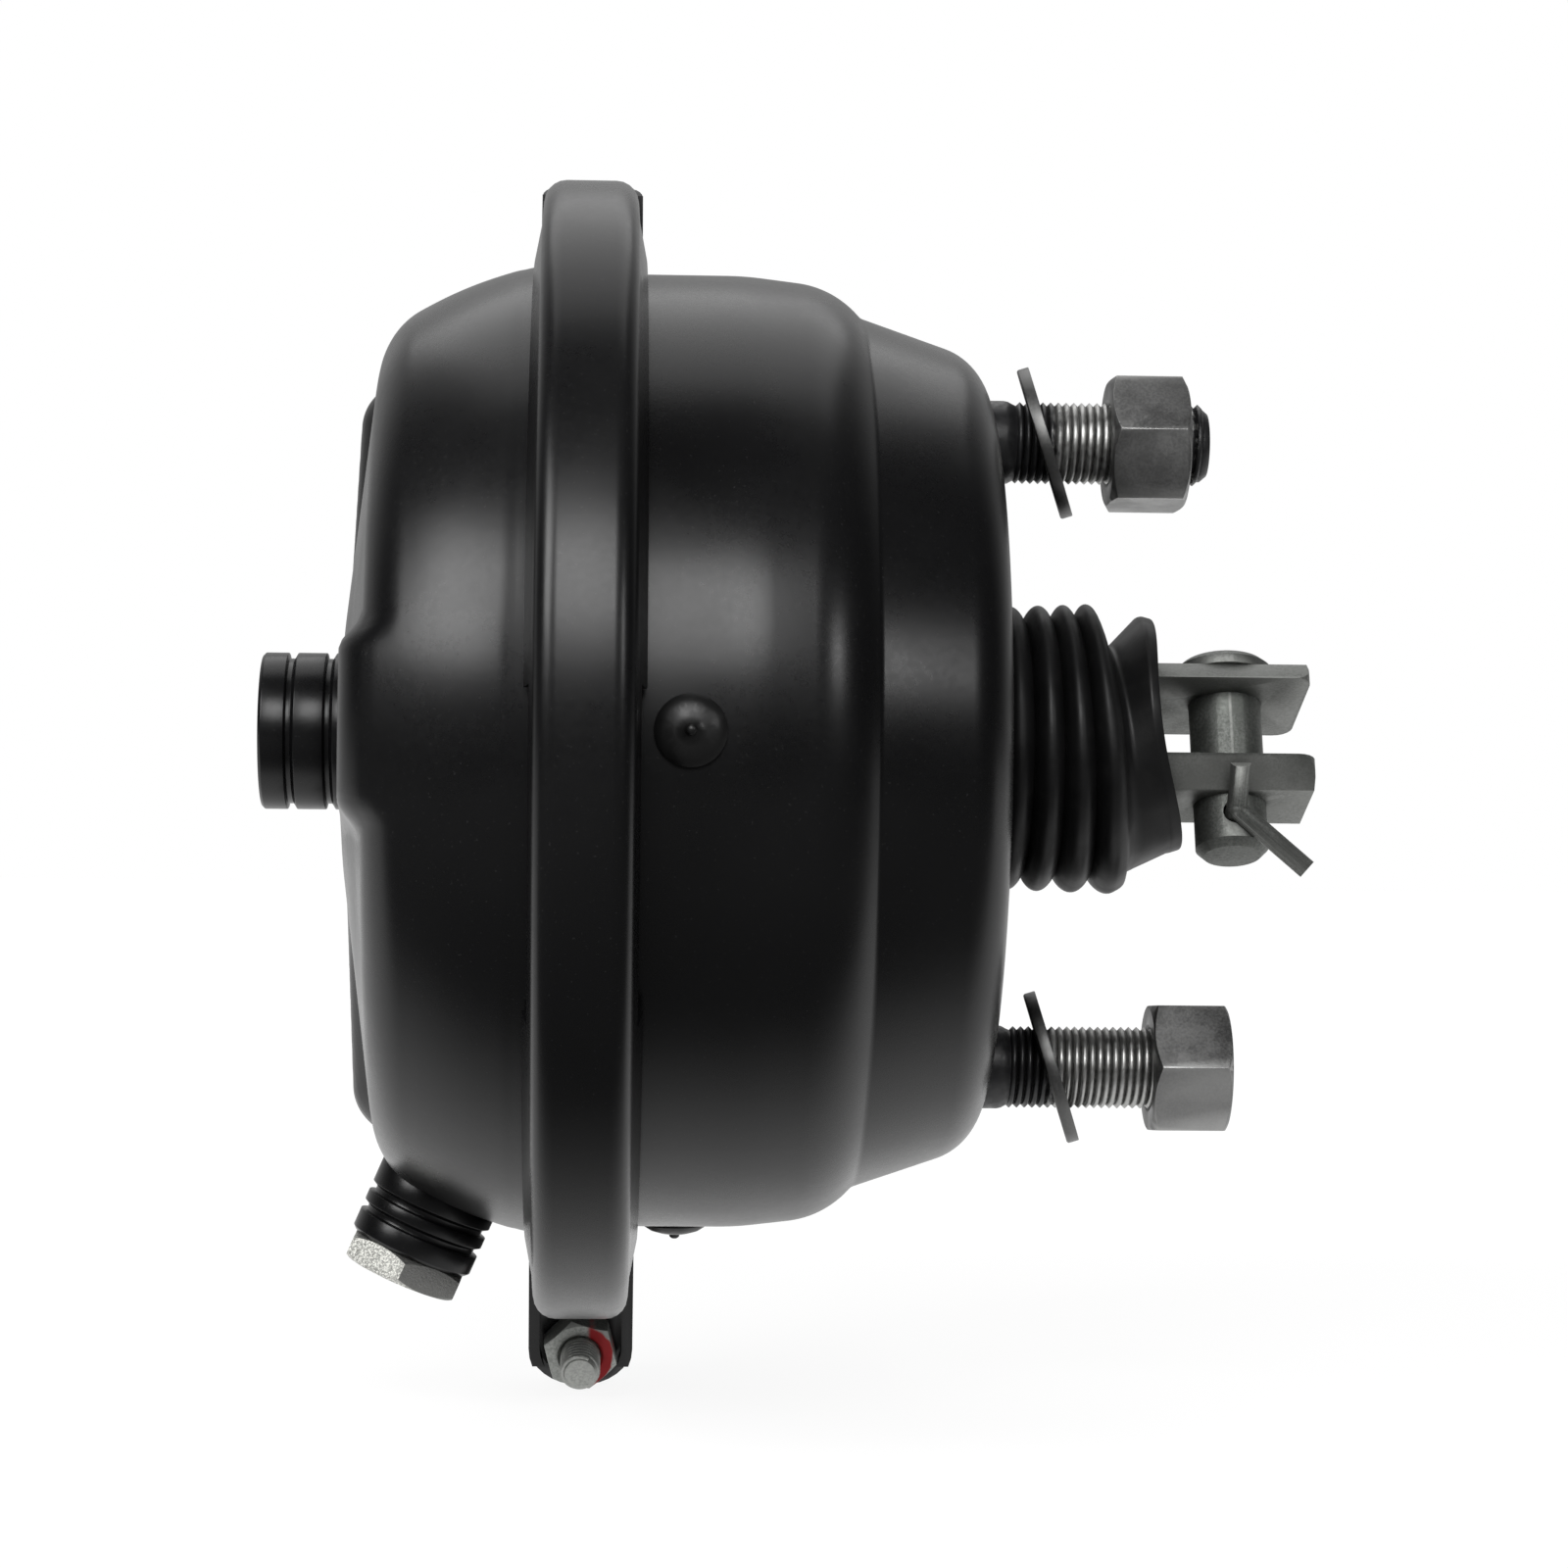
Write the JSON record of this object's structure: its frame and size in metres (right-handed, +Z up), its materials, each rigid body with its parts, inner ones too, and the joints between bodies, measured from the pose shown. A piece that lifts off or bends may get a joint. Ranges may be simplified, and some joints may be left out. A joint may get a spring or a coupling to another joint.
{
  "type": "diaphragm brake chamber",
  "caption": "Air brake diaphragm chamber: two pressed housings in a band clamp, threaded mounting studs, a booted pushrod with a clevis and pin, an open end port and a plugged side port.",
  "frame": {"origin": "centre of the mounting face, on the housings' axis", "axes": "+X along the pushrod towards the clevis, +Z up through the upper stud, the picture is taken from -Y"},
  "size_m": [0.2008, 0.217, 0.244],
  "materials": {
    "shell_paint": "semi-gloss black paint",
    "vent_plastic": "satin black plastic",
    "rubber": "matt black moulded rubber",
    "stud_steel": "dark grey phosphated steel",
    "zinc": "dull zinc plating",
    "spring_steel": "oiled spring steel",
    "plug_zinc": "coarse zinc plating"
  },
  "bodies": {
    "housing": {"pressure_housing": "shell_paint", "non_pressure_housing": "shell_paint", "diaphragm": "rubber", "clamp_front": "shell_paint", "clamp_rear": "shell_paint", "clamp_bolt_lower": "zinc", "clamp_nut_lower": "zinc", "clamp_bolt_upper": "zinc", "clamp_nut_upper": "zinc", "stud_plate": "stud_steel", "stud_upper": "stud_steel", "stud_lower": "stud_steel", "washer_upper": "stud_steel", "washer_lower": "stud_steel", "stud_nut_upper": "stud_steel", "stud_nut_lower": "stud_steel", "return_spring": "spring_steel", "boot": "rubber", "axial_port_boss": "shell_paint", "side_port_boss": "shell_paint", "side_port_plug": "plug_zinc", "vent_plug_front": "vent_plastic", "vent_plug_lower": "vent_plastic", "vent_plug_rear": "vent_plastic"},
    "pushrod": {"push_plate": "stud_steel", "pushrod": "zinc", "clevis_lock_nut": "stud_steel", "clevis": "zinc"},
    "clevis_pin": {"clevis_pin": "zinc", "split_pin": "zinc"}
  },
  "joints": [
    {"name": "rod_stroke", "type": "slide", "parent": "housing", "child": "pushrod", "axis": [1, 0, 0], "range_m": [0, 0.064], "stiffness_N_per_m": 2500, "springref_m": -0.05, "deforming": ["boot", "return_spring", "diaphragm"]},
    {"name": "clevis_pin_turn", "type": "hinge", "parent": "pushrod", "child": "clevis_pin", "pos_m": [0.0483, 0, 0.0026], "axis": [0, 0.3827, 0.9239], "range_deg": [-30, 30]}
  ]
}
